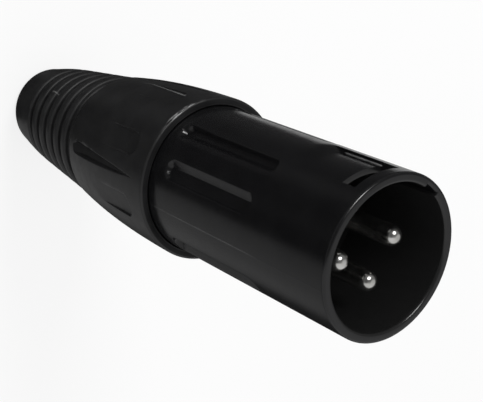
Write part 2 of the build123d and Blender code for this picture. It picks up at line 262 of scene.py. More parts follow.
def smooth_min(a, b, k):
    """The smaller of a and b, rounded over a width of k."""
    h = np.clip(0.5 + 0.5 * (b - a) / k, 0.0, 1.0)
    return b * (1 - h) + a * h - k * h * (1 - h)


def angle_gap(angles, centre):
    """Signed difference from centre, in degrees, wrapped to -180 to 180."""
    return (angles - centre + 180.0) % 360.0 - 180.0


def arc(centre, radius, start, end, steps):
    """Points of an arc in the r-z half plane; angles in degrees from +r towards +z."""
    turn = np.radians(np.linspace(start, end, steps + 1))
    return [(centre[0] + radius * cos(t), centre[1] + radius * sin(t)) for t in turn]


def runs(*stops):
    """Stations from (value, step) stops: each stretch is divided into even steps of about that size."""
    out = [stops[0][0]]
    for (low, step), (high, _) in zip(stops, stops[1:]):
        count = max(1, round(abs(high - low) / step))
        out += list(np.linspace(low, high, count + 1)[1:])
    return out


def dense_angles(coarse, zones):
    """Angles all round, fine inside the zones given as (centre, half width, step) and coarse elsewhere."""
    out = []
    angle = 0.0
    while angle < 360.0 - 0.1:
        out.append(angle)
        steps = [step for centre, half, step in zones if abs(angle_gap(angle, centre)) < half]
        angle += min(steps, default=coarse)
    return np.array(out)


def new_object(name, verts, faces):
    """Smooth-shaded mesh object from millimetre points, with hard edges kept sharp."""
    mesh = bpy.data.meshes.new(name)
    mesh.from_pydata([tuple(v) for v in np.asarray(verts) * MM], [], faces)
    mesh.validate()
    mesh.shade_smooth()
    mesh.set_sharp_from_angle(angle=SHARP_ANGLE)
    piece = bpy.data.objects.new(name, mesh)
    bpy.context.scene.collection.objects.link(piece)
    return piece


def ring_grid(angles, radii, heights, skip=None, bridges=()):
    """Vertices and faces of a closed loop of rings. radii and heights are rings by angles, angles may be too.

    skip(ring, step) leaves a quad out, and bridges holds the quads that join the edges of such a gap.
    """
    rings, steps = radii.shape
    turn = np.radians(angles)
    verts = np.stack([radii * np.cos(turn), radii * np.sin(turn), heights], axis=-1).reshape(-1, 3)
    faces = []
    for ring in range(rings):
        here = ring * steps
        there = (ring + 1) % rings * steps
        for step in range(steps):
            if skip is not None and skip(ring, step):
                continue
            ahead = (step + 1) % steps
            faces.append((here + step, here + ahead, there + ahead, there + step))
    faces += list(bridges)
    return verts, faces


def revolved(path, angles):
    """Vertices and faces turned from a closed path of (radius, height) points."""
    path = np.array(path)
    radii = np.repeat(path[:, :1], len(angles), axis=1)
    heights = np.repeat(path[:, 1:], len(angles), axis=1)
    return ring_grid(angles, radii, heights)


def from_top(angles):
    """Angle from the top, folded into one quarter, since the slots are mirrored about both planes."""
    gap = np.abs(angle_gap(angles, TOP_ANGLE))
    return np.minimum(gap, 180.0 - gap)


def slot_middle(slot):
    """Angle of a slot's middle line, from the top."""
    return (slot.upper_edge + slot.lower_edge) / 2


def slot_radius(angles, z):
    """Barrel radius round one ring with the slots in it: an upright wall, a floor and a level wall each."""
    folded = from_top(angles)
    # Never quite nought, so the divisions below are safe
    sine = np.maximum(np.sin(np.radians(folded)), 0.02)
    cosine = np.maximum(np.cos(np.radians(folded)), 0.02)
    radius = np.full_like(angles, BARREL_RADIUS)
    for slot in (UPPER_SLOT, SIDE_SLOT):
        upper_x = BARREL_RADIUS * sin(radians(slot.upper_edge))
        lower_y = BARREL_RADIUS * cos(radians(slot.lower_edge))
        middle = slot_middle(slot)
        half_width = BARREL_RADIUS * sin(radians((slot.lower_edge - slot.upper_edge) / 2)) + SLOT_MARGIN
        half_length = (slot.front_z - slot.rear_z) / 2
        past_end = max(0.0, abs(z - (slot.rear_z + slot.front_z) / 2) - (half_length - half_width))
        gap = np.radians(folded - middle)
        slope = SLOT_WALL_SLOPE + (SLOT_END_SLOPE - SLOT_WALL_SLOPE) * min(1.0, 2 * past_end)
        end_wall = BARREL_RADIUS - slope * (half_width - np.hypot(BARREL_RADIUS * np.sin(gap), past_end))
        tilted_floor = SLOT_FLOOR_RADIUS + SLOT_FLOOR_TILT * BARREL_RADIUS * gap
        floor = tilted_floor / np.cos(np.clip(gap, -0.3, 0.3))
        sunk = np.maximum(np.maximum(upper_x / sine, lower_y / cosine), np.maximum(end_wall, floor))
        near = np.abs(folded - middle) < SLOT_REACH_DEGREES
        rounding = np.where(gap > 0, SLOT_LOWER_ROUNDING, SLOT_UPPER_ROUNDING)
        radius = np.where(near, smooth_min(radius, sunk, rounding), radius)
    return radius


def pocket_floor(z):
    """Radius of the latch pocket's floor at a height: a ramp, then level."""
    ramp = min(max((z - POCKET_REAR_Z) / POCKET_RAMP_LENGTH, 0.0), 1.0)
    return BARREL_RADIUS - (BARREL_RADIUS - POCKET_FLOOR_RADIUS) * ramp


def sink_pocket(angles, radius, z):
    """Angles and radii of one outer ring, led down the flat side walls and over the floor of the pocket."""
    floor = pocket_floor(z)
    gap = angle_gap(angles, TOP_ANGLE)
    side = np.abs(gap)
    low, high = POCKET_WALL_ZONE
    corner = degrees(asin(POCKET_HALF_WIDTH / floor))
    soft = POCKET_EDGE_SHARE * (BARREL_RADIUS - floor)
    # The wall from the floor's flat part to the barrel: share of the zone, angle from the top, radius
    wall = ((0.0, low, floor),
            (0.25, corner - 0.5, floor),
            (0.33, corner, floor + soft),
            (0.5, POCKET_HALF_ANGLE + 0.12, BARREL_RADIUS - 1.5 * soft),
            (0.6, POCKET_HALF_ANGLE, BARREL_RADIUS - 0.5 * soft),
            (0.68, POCKET_HALF_ANGLE + 0.35, BARREL_RADIUS),
            (1.0, high, BARREL_RADIUS))
    stops, path_side, path_radius = zip(*wall)
    share = (side - low) / (high - low)
    on_wall = (side > low) & (side < high)
    new_side = np.where(on_wall, np.interp(share, stops, path_side), side)
    new_radius = np.where(on_wall, np.interp(share, stops, path_radius), np.where(side <= low, floor, radius))
    return TOP_ANGLE + np.sign(gap) * new_side, new_radius


def outer_barrel_radius(angles, z):
    """Outer radius of the barrel at a height, with the slots and the mould's parting line."""
    radius = slot_radius(angles, z)
    for side in (TOP_ANGLE - 90, TOP_ANGLE + 90):
        across = BARREL_RADIUS * np.radians(np.abs(angle_gap(angles, side)))
        radius = radius + SEAM_HEIGHT * np.clip(1 - across / SEAM_HALF_WIDTH, 0, 1)
    return radius


def keyway_depth(angles, centre, bore_radius, keyway_radius, half_width):
    """How far one keyway deepens a bore, round one ring."""
    gap = angle_gap(angles, centre)
    across = bore_radius * np.sin(np.radians(gap))
    depth = keyway_radius - bore_radius
    depth = depth * np.clip((half_width - np.abs(across)) / KEYWAY_WALL_WIDTH + 0.5, 0, 1)
    return np.where(np.abs(gap) < KEYWAY_REACH_DEGREES, depth, 0.0)


def mouth_radius(angles, z):
    """Inner radius of the mouth at a height, with the keyway."""
    radius = np.full_like(angles, MOUTH_RADIUS)
    if z > KEYWAY_REAR_Z:
        radius = radius + keyway_depth(angles, KEYWAY_ANGLE, MOUTH_RADIUS, KEYWAY_RADIUS, KEYWAY_HALF_WIDTH)
    return radius


def rear_bore_radius(angles, z):
    """Inner radius behind the ledge, with the two keyways for the chuck."""
    radius = np.full_like(angles, REAR_BORE_RADIUS)
    if z <= CHUCK_FRONT_Z:
        for centre in CHUCK_KEYWAY_ANGLES:
            radius = radius + keyway_depth(angles, centre, REAR_BORE_RADIUS, CHUCK_KEYWAY_RADIUS,
                                           CHUCK_KEYWAY_HALF_WIDTH)
    return radius


def even_ring(angles, radius, z):
    """One ring of the shell as angles, radii and height; the radius may be one number."""
    return angles, np.broadcast_to(radius, angles.shape), z


def mouth_rings(angles, window_rows):
    """Rings of the mouth from its floor to the rim, and the number of the first with the window."""
    rings = [even_ring(angles, LEDGE_RADIUS, LEDGE_REAR_Z)]
    rings.append(even_ring(angles, LEDGE_RADIUS, MOUTH_FLOOR_Z))
    rings.append(even_ring(angles, MOUTH_RADIUS, MOUTH_FLOOR_Z))
    rows = runs((MOUTH_FLOOR_Z + 0.2, 1.2), (KEYWAY_REAR_Z, 0.1), (KEYWAY_REAR_Z + 0.1, 1.2),
                (WINDOW_REAR_Z, 1.0))[:-1]
    first_with_window = len(rings) + len(rows)
    front_rows = runs((WINDOW_FRONT_Z, 0.35), (RIM_Z - RIM_EDGE_RADIUS, 0.35))[1:-1]
    for z in rows + window_rows + front_rows:
        rings.append(even_ring(angles, mouth_radius(angles, z), z))
    inner = mouth_radius(angles, RIM_Z)
    for radius, z in arc((RIM_EDGE_RADIUS, RIM_Z - RIM_EDGE_RADIUS), RIM_EDGE_RADIUS, 180, 90, 7):
        rings.append(even_ring(angles, inner + radius, z))
    return rings, first_with_window


def outside_rings(angles, window_rows):
    """Rings of the outside from the rim to the shoulder, and the number of the first with the window."""
    rings = []
    for radius, z in arc((-RIM_EDGE_RADIUS, RIM_Z - RIM_EDGE_RADIUS), RIM_EDGE_RADIUS, 90, 0, 7):
        rings.append(even_ring(angles, BARREL_RADIUS + radius, z))
    rows = runs((RIM_Z - RIM_EDGE_RADIUS - 0.1, 0.25), (WINDOW_FRONT_Z, 1))[:-1]
    first_with_window = len(rings) + len(rows)
    for z in rows + window_rows[:0:-1]:
        rings.append(even_ring(angles, outer_barrel_radius(angles, z), z))
    for z in runs((WINDOW_REAR_Z, 0.7), (POCKET_REAR_Z + POCKET_RAMP_LENGTH, 0.15), (POCKET_REAR_Z, 1)):
        pocket_angles, pocket_radii = sink_pocket(angles, outer_barrel_radius(angles, z), z)
        rings.append((pocket_angles, pocket_radii, z))
    front_ends = (UPPER_SLOT.front_z + 0.15, SIDE_SLOT.front_z - 1.5)
    rear_ends = (SIDE_SLOT.rear_z + 1.5, UPPER_SLOT.rear_z - 0.15)
    for z in runs((front_ends[0], 0.13), (front_ends[1], 0.8), (rear_ends[0], 0.13), (rear_ends[1], 0.8),
                  (RELIEF_FRONT_Z, 1)):
        rings.append(even_ring(angles, outer_barrel_radius(angles, z), z))
    rings.append(even_ring(angles, RELIEF_RADIUS, RELIEF_FRONT_Z))
    rings.append(even_ring(angles, RELIEF_RADIUS, SHOULDER_Z + EDGE_BREAK))
    rings.append(even_ring(angles, RELIEF_RADIUS - EDGE_BREAK, SHOULDER_Z))
    return rings, first_with_window


def rear_rings(angles):
    """Rings of the thread seat, the rear end and the rear bore."""
    rings = []
    for z in runs((SHOULDER_Z, 1.5), (SHELL_REAR_Z + EDGE_BREAK, 1.5)):
        rings.append(even_ring(angles, THREAD_CORE_RADIUS, z))
    rings.append(even_ring(angles, THREAD_CORE_RADIUS - EDGE_BREAK, SHELL_REAR_Z))
    for z in runs((SHELL_REAR_Z, 1.5), (CHUCK_FRONT_Z, 0.1), (CHUCK_FRONT_Z + 0.1, 2.0), (LEDGE_REAR_Z, 1)):
        rings.append(even_ring(angles, rear_bore_radius(angles, z), z))
    return rings


def window_gap(angles, inner_first, outer_first, count):
    """The test for the quads that the window leaves out, and the quads that join its edges.

    The window takes count rows of quads in each skin, from ring inner_first and from ring outer_first.
    """
    steps = len(angles)
    columns = np.flatnonzero(np.abs(angle_gap(angles, TOP_ANGLE)) <= POCKET_HALF_ANGLE)
    first_column, last_column = int(columns[0]), int(columns[-1])

    def skip(ring, step):
        in_columns = first_column <= step < last_column
        in_inner = inner_first <= ring < inner_first + count
        in_outer = outer_first <= ring < outer_first + count
        return in_columns and (in_inner or in_outer)

    bridges = []
    for row in range(count):
        a, b = inner_first + row, inner_first + row + 1
        c, d = outer_first + count - row, outer_first + count - row - 1
        for column in (first_column, last_column):
            quad = (a * steps + column, b * steps + column, d * steps + column, c * steps + column)
            bridges.append(quad if column == first_column else quad[::-1])
    low, high = inner_first * steps, (inner_first + count) * steps
    outer_low, outer_high = (outer_first + count) * steps, outer_first * steps
    for step in range(first_column, last_column):
        bridges.append((low + step + 1, low + step, outer_low + step, outer_low + step + 1))
        bridges.append((high + step, high + step + 1, outer_high + step + 1, outer_high + step))
    return skip, bridges


def make_shell():
    """The barrel: one closed skin over the mouth, the rim, the outside and the rear bore."""
    upper, side = slot_middle(UPPER_SLOT), slot_middle(SIDE_SLOT)
    slot_turns = (upper, side, 180 - upper, 180 - side)
    wall_middle = sum(POCKET_WALL_ZONE) / 2
    zones = [(TOP_ANGLE + sign * turn, 10.5, 0.5) for turn in slot_turns for sign in (-1, 1)]
    zones += [(KEYWAY_ANGLE, 8.0, 0.5), (TOP_ANGLE - 90, 1.5, 0.25), (TOP_ANGLE + 90, 1.5, 0.25)]
    zones += [(TOP_ANGLE + sign * wall_middle, 1.5, 0.2) for sign in (-1, 1)]
    angles = dense_angles(2.0, zones)
    window_rows = [WINDOW_REAR_Z] + runs((WINDOW_REAR_Z + 0.03, 0.45), (WINDOW_FRONT_Z, 0.45))
    mouth, inner_first = mouth_rings(angles, window_rows)
    outside, outer_first = outside_rings(angles, window_rows)
    rings = mouth + outside + rear_rings(angles)
    turned = np.array([ring_angles for ring_angles, _, _ in rings])
    radii = np.array([radius for _, radius, _ in rings])
    heights = np.array([np.full_like(angles, z) for _, _, z in rings])
    skip, bridges = window_gap(angles, inner_first, len(mouth) + outer_first, len(window_rows) - 1)
    return new_object("shell_barrel", *ring_grid(turned, radii, heights, skip, bridges))


def thread_ridge(name, root_radius, crest_radius, first_z, last_z, phase):
    """A helical ridge whose root sits a little inside the wall that carries it, tapered out at both ends."""
    turns = (last_z - first_z) / THREAD_PITCH
    steps = int(turns * THREAD_STEPS_A_TURN)
    verts = []
    for step in range(steps + 1):
        turn = 2 * pi * step / THREAD_STEPS_A_TURN
        z = first_z + THREAD_PITCH * step / THREAD_STEPS_A_TURN
        fade = min(1.0, min(step, steps - step) / (THREAD_STEPS_A_TURN / 4))
        crest = root_radius + (crest_radius - root_radius) * max(fade, 0.02)
        section = ((root_radius, -THREAD_HALF_BASE), (crest, -THREAD_HALF_CREST),
                   (crest, THREAD_HALF_CREST), (root_radius, THREAD_HALF_BASE))
        for radius, offset in section:
            verts.append((radius * cos(turn + phase), radius * sin(turn + phase), z + offset))
    faces = []
    for step in range(steps):
        for side in range(4):
            a = 4 * step + side
            b = 4 * step + (side + 1) % 4
            faces.append((a, b, b + 4, a + 4))
    faces += [(3, 2, 1, 0), tuple(4 * steps + side for side in range(4))]
    return new_object(name, verts, faces)


def sleeve_outline(z):
    """Outer radius of the sleeve at a height, a smooth curve through its stations."""
    stations = np.array(SLEEVE_STATIONS)
    return float(np.polynomial.Polynomial.fit(stations[:, 0], stations[:, 1], 3)(z))


def wedge_floor(z):
    """Radius of a wedge groove's floor at a height: straight from the tip, then curving out at the nose."""
    deep = sleeve_outline(WEDGE_DEEP_Z) - WEDGE_DEPTH
    slope = (sleeve_outline(WEDGE_FRONT_Z) - deep) / (WEDGE_FRONT_Z - WEDGE_DEEP_Z)
    along = z - WEDGE_DEEP_Z
    if along >= 0:
        return deep + slope * along
    nose = WEDGE_REAR_Z - WEDGE_DEEP_Z
    lift = sleeve_outline(WEDGE_REAR_Z) - deep - slope * nose
    return deep + slope * along + lift * (along / nose) ** 2


def nearest_gap(angles, first, count):
    """Signed difference from the nearest of so many evenly spaced angles, in degrees."""
    every = 360 / count
    return (angles - first + every / 2) % every - every / 2


def sleeve_outer_radius(angles, z):
    """Sleeve radius round one ring, with the grip panels and wedge grooves sunk into it."""
    outline = sleeve_outline(z)
    radius = np.full_like(angles, outline)
    gap = np.radians(nearest_gap(angles, PANEL_ANGLE, PANEL_COUNT))
    sideways = np.abs(outline * gap) - (PANEL_HALF_WIDTH - PANEL_CORNER_RADIUS)
    ahead = z - (PANEL_FRONT_Z - PANEL_CORNER_RADIUS)
    corner = np.hypot(np.maximum(sideways, 0), max(ahead, 0.0))
    outside = np.where(ahead > 0, corner, np.maximum(sideways, 0)) - PANEL_CORNER_RADIUS
    floor = PANEL_FLOOR_RADIUS / np.cos(gap) + GRIP_WALL_SLOPE * np.maximum(outside, 0)
    if PANEL_REAR_Z < z < PANEL_FRONT_Z + 0.4:
        radius = smooth_min(radius, floor, PANEL_EDGE_ROUNDING)
    nose_z = WEDGE_REAR_Z + WEDGE_HALF_WIDTH
    along_ring = outline * np.radians(nearest_gap(angles, WEDGE_ANGLE, WEDGE_COUNT))
    sideways = np.abs(along_ring)
    if z < nose_z:
        inside = WEDGE_HALF_WIDTH - np.hypot(sideways, nose_z - z)
    else:
        along = min(1.0, (z - nose_z) / (WEDGE_FRONT_Z - nose_z))
        inside = WEDGE_HALF_WIDTH * (1 - along ** WEDGE_TAPER_POWER) - sideways
    if WEDGE_REAR_Z < z < WEDGE_FRONT_Z:
        wall = outline - GRIP_WALL_SLOPE * inside
        floor = wedge_floor(z) + WEDGE_FLOOR_TILT * along_ring
        radius = smooth_min(radius, np.maximum(wall, floor), WEDGE_EDGE_ROUNDING)
    return radius


def make_sleeve():
    """The grip: one closed skin with the lip, the bore, the cone and the rear wall."""
    zones = [(PANEL_ANGLE + 360 / PANEL_COUNT * k, 9.5, 0.5) for k in range(PANEL_COUNT)]
    zones += [(WEDGE_ANGLE + 360 / WEDGE_COUNT * k, 6.0, 0.35) for k in range(WEDGE_COUNT)]
    angles = dense_angles(1.5, zones)
    rings = []
    front_round, rear_round = SLEEVE_FRONT_ROUNDING, SLEEVE_REAR_ROUNDING
    for z in runs((SLEEVE_REAR_Z + rear_round, 0.3), (WEDGE_REAR_Z, 0.12), (WEDGE_REAR_Z + 1.0, 0.3),
                  (PANEL_REAR_Z, 0.35), (PANEL_FRONT_Z - 1.3, 0.1), (PANEL_FRONT_Z + 0.3, 0.4),
                  (SLEEVE_FRONT_Z - front_round, 1)):
        rings.append((sleeve_outer_radius(angles, z), z))
    front_radius = sleeve_outline(SLEEVE_FRONT_Z - front_round)
    plain = [(front_radius - front_round + r, z)
             for r, z in arc((0, SLEEVE_FRONT_Z - front_round), front_round, 0, 90, 7)[1:]]
    plain += arc((LIP_BORE_RADIUS + LIP_EDGE_ROUNDING, SLEEVE_FRONT_Z - LIP_EDGE_ROUNDING),
                 LIP_EDGE_ROUNDING, 90, 180, 4)
    plain += [(LIP_BORE_RADIUS, LIP_REAR_Z), (SLEEVE_BORE_RADIUS, LIP_REAR_Z)]
    plain += [(SLEEVE_BORE_RADIUS, SLEEVE_BORE_REAR_Z), (CONE_FRONT_RADIUS, SLEEVE_BORE_REAR_Z)]
    plain += [(CONE_REAR_RADIUS, CONE_REAR_Z), (FLANGE_ROOM_RADIUS, CONE_REAR_Z)]
    plain += [(FLANGE_ROOM_RADIUS, REAR_WALL_FRONT_Z), (CONE_REAR_RADIUS, REAR_WALL_FRONT_Z)]
    plain += [(CONE_REAR_RADIUS, SLEEVE_REAR_Z)]
    rear_radius = sleeve_outline(SLEEVE_REAR_Z + rear_round)
    plain += arc((rear_radius - rear_round, SLEEVE_REAR_Z + rear_round), rear_round, -90, 0, 7)[:-1]
    for radius, z in plain:
        rings.append((np.full_like(angles, radius), z))
    radii = np.array([radius for radius, _ in rings])
    heights = np.array([np.full_like(angles, z) for _, z in rings])
    verts, faces = ring_grid(angles, radii, heights)
    return new_object("sleeve_grip", verts, faces)


def boot_flank(z):
    """Radius of the boot's flank without its grooves: two cones with a soft bend between them."""
    tail_slope = (BOOT_BEND_RADIUS - BOOT_TAIL_RADIUS) / BOOT_BEND_Z
    front_slope = (BOOT_FRONT_RADIUS - BOOT_BEND_RADIUS) / (BOOT_FRONT_Z - BOOT_BEND_Z)
    tail = BOOT_TAIL_RADIUS + tail_slope * z
    front = BOOT_BEND_RADIUS + front_slope * (z - BOOT_BEND_Z)
    return float(smooth_min(tail, front, BOOT_BEND_ROUNDING))


def groove_outline(middle):
    """Points of one square groove with rounded shoulders and corners, from the tail towards the front."""
    shoulder, corner = RIB_SHOULDER, GROOVE_CORNER
    rear, front = middle - GROOVE_WIDTH / 2, middle + GROOVE_WIDTH / 2
    floor = boot_flank(middle) - GROOVE_DEPTH
    path = arc((boot_flank(rear - shoulder) - shoulder, rear - shoulder), shoulder, 0, 90, 6)
    path += arc((floor + corner, rear + corner), corner, 270, 180, 4)
    path += arc((floor + corner, front - corner), corner, 180, 90, 4)
    return path + arc((boot_flank(front + shoulder) - shoulder, front + shoulder), shoulder, 270, 360, 6)


def make_boot():
    """The rubber strain relief, turned from its ribbed outline, with the cable hole through it."""
    rounding = BOOT_TAIL_ROUNDING
    start = arc((boot_flank(rounding) - rounding, rounding), rounding, -90, -12, 8)
    path = [(CABLE_RADIUS + BORE_EDGE, 0.0)] + start
    last_rib_end = BOOT_FRONT_Z - RIB_SHOULDER
    path += [(boot_flank(z), z) for z in runs((rounding, 0.5), (FIRST_GROOVE_Z - 1.1, 1))]
    for groove in range(GROOVE_COUNT):
        path += groove_outline(FIRST_GROOVE_Z + GROOVE_PITCH * groove)
    path += arc((boot_flank(last_rib_end) - RIB_SHOULDER, last_rib_end), RIB_SHOULDER, 0, 90, 6)
    recess_radius = BOOT_FRONT_RADIUS - GROOVE_DEPTH
    path += arc((recess_radius + RECESS_CORNER, BOOT_FRONT_Z + RECESS_CORNER), RECESS_CORNER, 270, 180, 4)
    path += [(recess_radius, SLEEVE_REAR_Z), (NECK_RADIUS, SLEEVE_REAR_Z)]
    path += [(NECK_RADIUS, REAR_WALL_FRONT_Z), (FLANGE_RADIUS, REAR_WALL_FRONT_Z)]
    path += [(FLANGE_RADIUS, FLANGE_FRONT_Z), (FRONT_BORE_RADIUS, FLANGE_FRONT_Z)]
    path += [(CABLE_RADIUS, STRAIGHT_BORE_END_Z), (CABLE_RADIUS, BORE_EDGE)]
    return new_object("boot_rubber_body", *revolved(path, np.arange(0, 360, 2.0)))


def weld(piece):
    """Joins the points that meet on a piece's axis, and turns its faces outwards."""
    mesh = piece.data
    work = bmesh.new()
    work.from_mesh(mesh)
    bmesh.ops.remove_doubles(work, verts=work.verts, dist=1e-6)
    bmesh.ops.recalc_face_normals(work, faces=work.faces)
    work.to_mesh(mesh)
    work.free()
    mesh.shade_smooth()
    mesh.set_sharp_from_angle(angle=SHARP_ANGLE)


def make_pin(name):
    """A turned contact: domed tip, straight shaft, collar and solder cup, at its CAD place."""
    low, high = box_in_mm(name)
    centre = (low + high) / 2
    dome_z = high.z - PIN_DOME_HEIGHT
    dome_radius = PIN_RADIUS - PIN_TIP_FLAT_RADIUS
    cup_floor_z = low.z + CUP_HOLE_DEPTH
    path = [(0.0, high.z), (PIN_TIP_FLAT_RADIUS, high.z)]
    for step in range(1, DOME_STEPS + 1):
        turn = radians(90 - 90 / DOME_STEPS * step)
        path.append((PIN_TIP_FLAT_RADIUS + dome_radius * cos(turn), dome_z + PIN_DOME_HEIGHT * sin(turn)))
    path += [(PIN_RADIUS, z) for z in runs((dome_z - 0.8, 1.2), (MOUTH_FLOOR_Z, 1))]
    path += [(PIN_ROOT_RADIUS, MOUTH_FLOOR_Z), (PIN_ROOT_RADIUS, COLLAR_FRONT_Z)]
    path += [(COLLAR_RADIUS, COLLAR_FRONT_Z), (COLLAR_RADIUS, COLLAR_REAR_Z), (CUP_RADIUS, COLLAR_REAR_Z)]
    path += [(CUP_RADIUS, low.z), (CUP_HOLE_RADIUS, low.z)]
    path += [(CUP_HOLE_RADIUS, cup_floor_z), (0.0, cup_floor_z)]
    angles = np.arange(0, 360, 7.5)
    verts, faces = revolved(path, angles)
    # Both ends of the path lie on the axis, so the quads that would join them are left out
    last_ring = (len(path) - 1) * len(angles)
    faces = [face for face in faces if face[0] < last_ring]
    piece = new_object(name + "_silver", verts + np.array([centre.x, centre.y, 0.0]), faces)
    weld(piece)
    return piece


def material(name, base, roughness, metallic=0.0):
    """A principled material with its all-over values on the shader's own sockets."""
    made = bpy.data.materials.new(name)
    made.use_nodes = True
    tree = made.node_tree
    shader = tree.nodes["Principled BSDF"]
    shader.inputs["Base Color"].default_value = (*base, 1.0)
    shader.inputs["Roughness"].default_value = roughness
    shader.inputs["Metallic"].default_value = metallic
    return made, tree, shader


def feed(tree, socket, value):
    """Gives an input a number, or links another node's output to it."""
    if isinstance(value, (int, float)):
        socket.default_value = value
    else:
        tree.links.new(value, socket)


def noise(tree, scale, detail, stretch=(1, 1, 1)):
    """Noise over the object's own coordinates; scale is repeats a metre."""
    place = tree.nodes.new("ShaderNodeTexCoord")
    mapping = tree.nodes.new("ShaderNodeMapping")
    mapping.inputs["Scale"].default_value = stretch
    texture = tree.nodes.new("ShaderNodeTexNoise")
    texture.inputs["Scale"].default_value = scale
    texture.inputs["Detail"].default_value = detail
    tree.links.new(place.outputs["Object"], mapping.inputs["Vector"])
    tree.links.new(mapping.outputs["Vector"], texture.inputs["Vector"])
    return texture.outputs["Fac"]


def map_range(tree, value, start, end, low, high, smooth=False):
    """The value mapped from start and end to low and high, and held between them."""
    node = tree.nodes.new("ShaderNodeMapRange")
    if smooth:
        node.interpolation_type = "SMOOTHSTEP"
    node.inputs["From Min"].default_value = start
    node.inputs["From Max"].default_value = end
    node.inputs["To Min"].default_value = low
    node.inputs["To Max"].default_value = high
    tree.links.new(value, node.inputs["Value"])
    return node.outputs["Result"]


def spread(tree, value, low, high):
    """Noise, which lies mostly between 0.3 and 0.7, mapped to low and high."""
    return map_range(tree, value, 0.3, 0.7, low, high)


def vary_colour(tree, shader, value, dark, light):
    """Base colour between two tones by a value."""
    ramp = tree.nodes.new("ShaderNodeValToRGB")
    ramp.color_ramp.elements[0].position = 0.35
    ramp.color_ramp.elements[0].color = (*dark, 1)
    ramp.color_ramp.elements[1].position = 0.65
    ramp.color_ramp.elements[1].color = (*light, 1)
    tree.links.new(value, ramp.inputs["Fac"])
    tree.links.new(ramp.outputs["Color"], shader.inputs["Base Color"])


def vary_roughness(tree, shader, value, low, high):
    """Roughness between two levels by noise."""
    tree.links.new(spread(tree, value, low, high), shader.inputs["Roughness"])


def bump(tree, shader, value, height):
    """Fine relief of a height in millimetres."""
    node = tree.nodes.new("ShaderNodeBump")
    node.inputs["Distance"].default_value = height * MM
    tree.links.new(value, node.inputs["Height"])
    tree.links.new(node.outputs["Normal"], shader.inputs["Normal"])


def math_node(tree, operation, first, second=0.0):
    """Result of one math step; either input is another node's output or a number."""
    node = tree.nodes.new("ShaderNodeMath")
    node.operation = operation
    feed(tree, node.inputs[0], first)
    feed(tree, node.inputs[1], second)
    return node.outputs[0]


def mix_values(tree, share, first, second):
    """The first value at a share of nought and the second at one; each may be a number."""
    node = tree.nodes.new("ShaderNodeMix")
    # The third and fourth inputs of this node are its two plain values
    feed(tree, node.inputs[0], share)
    feed(tree, node.inputs[2], first)
    feed(tree, node.inputs[3], second)
    return node.outputs[0]


def cylinder_place(tree):
    """Angle in degrees round the plug, radius and height in millimetres, of a point in the object."""
    place = tree.nodes.new("ShaderNodeTexCoord")
    split = tree.nodes.new("ShaderNodeSeparateXYZ")
    tree.links.new(place.outputs["Object"], split.inputs[0])
    x, y, z = (split.outputs[axis] for axis in "XYZ")
    turn = math_node(tree, "ARCTAN2", y, x)
    angle = math_node(tree, "MULTIPLY", turn, 180 / pi)
    square = math_node(tree, "ADD", math_node(tree, "MULTIPLY", x, x),
                       math_node(tree, "MULTIPLY", y, y))
    radius = math_node(tree, "MULTIPLY", math_node(tree, "SQRT", square), 1 / MM)
    return angle, radius, math_node(tree, "MULTIPLY", z, 1 / MM)


def ring_streaks(tree, angle, radius, z):
    """Noise drawn out along the circles round the plug."""
    join = tree.nodes.new("ShaderNodeCombineXYZ")
    for slot, (value, repeats) in enumerate(((angle, 0.12), (radius, 6.0), (z, 6.0))):
        tree.links.new(math_node(tree, "MULTIPLY", value, repeats), join.inputs[slot])
    texture = tree.nodes.new("ShaderNodeTexNoise")
    texture.inputs["Scale"].default_value = 1.0
    texture.inputs["Detail"].default_value = 5.0
    tree.links.new(join.outputs[0], texture.inputs["Vector"])
    return texture.outputs["Fac"]


def near_value(tree, value, centre, half_width, softness):
    """One within half_width of the centre, falling to zero over the softness."""
    off = math_node(tree, "ABSOLUTE", math_node(tree, "SUBTRACT", value, centre))
    return map_range(tree, off, half_width, half_width + softness, 1.0, 0.0, smooth=True)


def where_all(tree, *masks):
    """One where all the masks are one."""
    product = masks[0]
    for mask in masks[1:]:
        product = math_node(tree, "MULTIPLY", product, mask)
    return product


def lighten_base_colour(tree, shader, mask, tone):
    """Lightens the base colour to a tone where the mask is one."""
    coloured = shader.inputs["Base Color"].links[0].from_socket
    mix = tree.nodes.new("ShaderNodeMix")
    mix.data_type = "RGBA"
    # The seventh and eighth inputs of this node are its two colours, and its third output is their mix
    mix.inputs[7].default_value = (tone, tone, tone, 1)
    tree.links.new(mask, mix.inputs[0])
    tree.links.new(coloured, mix.inputs[6])
    tree.links.new(mix.outputs[2], shader.inputs["Base Color"])


